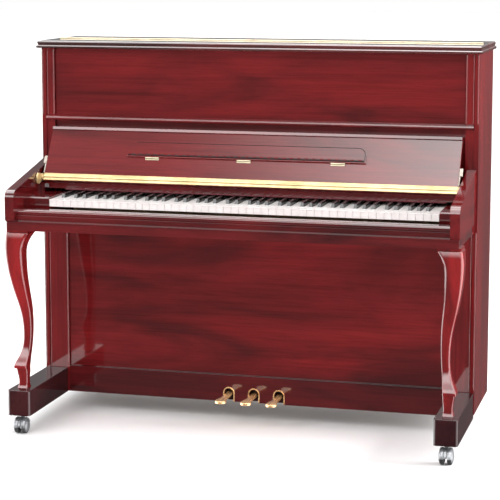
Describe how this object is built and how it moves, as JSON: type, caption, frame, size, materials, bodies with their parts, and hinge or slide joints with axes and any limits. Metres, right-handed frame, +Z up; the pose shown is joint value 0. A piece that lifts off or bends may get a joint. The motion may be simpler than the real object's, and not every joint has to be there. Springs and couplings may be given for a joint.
{
  "type": "upright piano",
  "caption": "Gloss mahogany upright piano with cabriole legs on toe blocks, open leaning fallboard with folding music desk, and a full keyboard.",
  "frame": {"origin": "on the floor, under the middle of the piano", "axes": "+X along the keyboard to the treble side, +Y to the back, +Z up"},
  "size_m": [1.44, 0.655, 1.222],
  "materials": {
    "mahogany": "high gloss",
    "brass": "polished",
    "white_keytop": "gloss",
    "black_keytop": "satin",
    "red_felt": "matt",
    "beech": "satin",
    "spruce": "satin varnish",
    "gold_iron": "bronze lacquer",
    "string_steel": "bright",
    "chrome": "polished",
    "black_tread": "satin"
  },
  "bodies": {
    "case": {"side_panel_left": "mahogany", "side_panel_right": "mahogany", "pilasters": "mahogany", "lid_rear": "mahogany", "lid_hinge": "brass", "upper_panel": "mahogany", "lower_panel": "mahogany", "bottom_rail": "mahogany", "bottom_board": "beech", "arm_left": "mahogany", "arm_right": "mahogany", "keybed": "mahogany", "keyslip": "mahogany", "key_blocks": "mahogany", "key_rails": "beech", "nameboard": "mahogany", "nameboard_felt": "red_felt", "fallboard_hinge_fixed": "brass", "leg_left": "mahogany", "leg_right": "mahogany", "toe_block_left": "mahogany", "toe_block_right": "mahogany", "rear_caster_brackets": "chrome", "back_posts": "spruce", "back_beams": "spruce", "soundboard": "spruce", "pin_block": "beech", "iron_plate": "gold_iron", "strings": "string_steel", "tuning_pins": "string_steel", "bridges": "beech", "action_frame": "beech"},
    "lid": {"lid_front": "mahogany"},
    "fallboard": {"fallboard": "mahogany", "fallboard_hinge_moving": "brass", "music_desk_hinges": "brass"},
    "music_desk": {"music_desk": "mahogany"},
    "hammers": {"hammers": "beech"},
    "dampers": {"dampers": "beech"},
    "muffler": {"muffler_rail": "beech"},
    "pedal_left": {"pedal_left": "brass"},
    "pedal_middle": {"pedal_middle": "brass"},
    "pedal_right": {"pedal_right": "brass"},
    "caster_left": {"caster_left_housing": "chrome"},
    "caster_right": {"caster_right_housing": "chrome"},
    "wheels_left": {"caster_left_wheels": "black_tread"},
    "wheels_right": {"caster_right_wheels": "black_tread"},
    "wheels_rear": {"rear_caster_wheels": "black_tread"},
    "keys_c": {"keys_c": "white_keytop"},
    "keys_c_sharp": {"keys_c_sharp": "black_keytop"},
    "keys_d": {"keys_d": "white_keytop"},
    "keys_d_sharp": {"keys_d_sharp": "black_keytop"},
    "keys_e": {"keys_e": "white_keytop"},
    "keys_f": {"keys_f": "white_keytop"},
    "keys_f_sharp": {"keys_f_sharp": "black_keytop"},
    "keys_g": {"keys_g": "white_keytop"},
    "keys_g_sharp": {"keys_g_sharp": "black_keytop"},
    "keys_a": {"keys_a": "white_keytop"},
    "keys_a_sharp": {"keys_a_sharp": "black_keytop"},
    "keys_b": {"keys_b": "white_keytop"}
  },
  "joints": [
    {"name": "lid_fold", "type": "hinge", "parent": "case", "child": "lid", "pos_m": [0, 0.154, 1.219], "axis": [-1, 0, 0], "range_deg": [0, 175]},
    {"name": "fallboard_close", "type": "hinge", "parent": "case", "child": "fallboard", "pos_m": [0, -0.101, 0.79], "axis": [1, 0, 0], "range_deg": [0, 140]},
    {"name": "desk_fold", "type": "hinge", "parent": "fallboard", "child": "music_desk", "pos_m": [0, -0.06542, 0.85498], "axis": [-1, 0, 0], "range_deg": [-95, 0]},
    {"name": "play_c", "type": "hinge", "parent": "case", "child": "keys_c", "pos_m": [0, -0.017, 0.714], "axis": [1, 0, 0], "range_deg": [0, 2.58], "stiffness_Nm_per_rad": 3, "springref_deg": -11.46},
    {"name": "play_c_sharp", "type": "hinge", "parent": "case", "child": "keys_c_sharp", "pos_m": [0, -0.017, 0.714], "axis": [1, 0, 0], "range_deg": [0, 2.58], "stiffness_Nm_per_rad": 3, "springref_deg": -11.46},
    {"name": "play_d", "type": "hinge", "parent": "case", "child": "keys_d", "pos_m": [0, -0.017, 0.714], "axis": [1, 0, 0], "range_deg": [0, 2.58], "stiffness_Nm_per_rad": 3, "springref_deg": -11.46},
    {"name": "play_d_sharp", "type": "hinge", "parent": "case", "child": "keys_d_sharp", "pos_m": [0, -0.017, 0.714], "axis": [1, 0, 0], "range_deg": [0, 2.58], "stiffness_Nm_per_rad": 3, "springref_deg": -11.46},
    {"name": "play_e", "type": "hinge", "parent": "case", "child": "keys_e", "pos_m": [0, -0.017, 0.714], "axis": [1, 0, 0], "range_deg": [0, 2.58], "stiffness_Nm_per_rad": 3, "springref_deg": -11.46},
    {"name": "play_f", "type": "hinge", "parent": "case", "child": "keys_f", "pos_m": [0, -0.017, 0.714], "axis": [1, 0, 0], "range_deg": [0, 2.58], "stiffness_Nm_per_rad": 3, "springref_deg": -11.46},
    {"name": "play_f_sharp", "type": "hinge", "parent": "case", "child": "keys_f_sharp", "pos_m": [0, -0.017, 0.714], "axis": [1, 0, 0], "range_deg": [0, 2.58], "stiffness_Nm_per_rad": 3, "springref_deg": -11.46},
    {"name": "play_g", "type": "hinge", "parent": "case", "child": "keys_g", "pos_m": [0, -0.017, 0.714], "axis": [1, 0, 0], "range_deg": [0, 2.58], "stiffness_Nm_per_rad": 3, "springref_deg": -11.46},
    {"name": "play_g_sharp", "type": "hinge", "parent": "case", "child": "keys_g_sharp", "pos_m": [0, -0.017, 0.714], "axis": [1, 0, 0], "range_deg": [0, 2.58], "stiffness_Nm_per_rad": 3, "springref_deg": -11.46},
    {"name": "play_a", "type": "hinge", "parent": "case", "child": "keys_a", "pos_m": [0, -0.017, 0.714], "axis": [1, 0, 0], "range_deg": [0, 2.58], "stiffness_Nm_per_rad": 3, "springref_deg": -11.46},
    {"name": "play_a_sharp", "type": "hinge", "parent": "case", "child": "keys_a_sharp", "pos_m": [0, -0.017, 0.714], "axis": [1, 0, 0], "range_deg": [0, 2.58], "stiffness_Nm_per_rad": 3, "springref_deg": -11.46},
    {"name": "play_b", "type": "hinge", "parent": "case", "child": "keys_b", "pos_m": [0, -0.017, 0.714], "axis": [1, 0, 0], "range_deg": [0, 2.58], "stiffness_Nm_per_rad": 3, "springref_deg": -11.46},
    {"name": "pedal_left", "type": "hinge", "parent": "case", "child": "pedal_left", "pos_m": [-0.083, 0.089, 0.096], "axis": [1, 0, 0], "range_deg": [0, 7.5], "stiffness_Nm_per_rad": 20, "springref_deg": -5.73},
    {"name": "pedal_middle", "type": "hinge", "parent": "case", "child": "pedal_middle", "pos_m": [0, 0.089, 0.096], "axis": [1, 0, 0], "range_deg": [0, 7.5], "stiffness_Nm_per_rad": 20, "springref_deg": -5.73},
    {"name": "pedal_right", "type": "hinge", "parent": "case", "child": "pedal_right", "pos_m": [0.083, 0.089, 0.096], "axis": [1, 0, 0], "range_deg": [0, 7.5], "stiffness_Nm_per_rad": 20, "springref_deg": -5.73},
    {"name": "half_blow", "type": "hinge", "parent": "case", "child": "hammers", "pos_m": [0, 0.117, 0.816], "axis": [-1, 0, 0], "range_deg": [0, 12.01]},
    {"name": "damper_lift", "type": "hinge", "parent": "case", "child": "dampers", "pos_m": [0, 0.181, 0.794], "axis": [1, 0, 0], "range_deg": [0, 5.01]},
    {"name": "practice_felt", "type": "slide", "parent": "case", "child": "muffler", "axis": [0, 0, -1], "range_m": [0, 0.03502]},
    {"name": "swivel_left", "type": "hinge", "parent": "case", "child": "caster_left", "pos_m": [-0.6715, -0.289, 0.06], "axis": [0, 0, 1], "continuous": true},
    {"name": "roll_left", "type": "hinge", "parent": "caster_left", "child": "wheels_left", "pos_m": [-0.6715, -0.301, 0.024], "axis": [1, 0, 0], "continuous": true},
    {"name": "swivel_right", "type": "hinge", "parent": "case", "child": "caster_right", "pos_m": [0.6715, -0.289, 0.06], "axis": [0, 0, 1], "continuous": true},
    {"name": "roll_right", "type": "hinge", "parent": "caster_right", "child": "wheels_right", "pos_m": [0.6715, -0.301, 0.024], "axis": [1, 0, 0], "continuous": true},
    {"name": "roll_rear", "type": "hinge", "parent": "case", "child": "wheels_rear", "pos_m": [0, 0.282, 0.024], "axis": [1, 0, 0], "continuous": true}
  ],
  "couplings": [
    {"joint": "half_blow", "follows": "pedal_left", "ratio": 1.6},
    {"joint": "damper_lift", "follows": "pedal_right", "ratio": 0.6667},
    {"joint": "practice_felt", "follows": "pedal_middle", "m_per_rad": 0.2674}
  ]
}
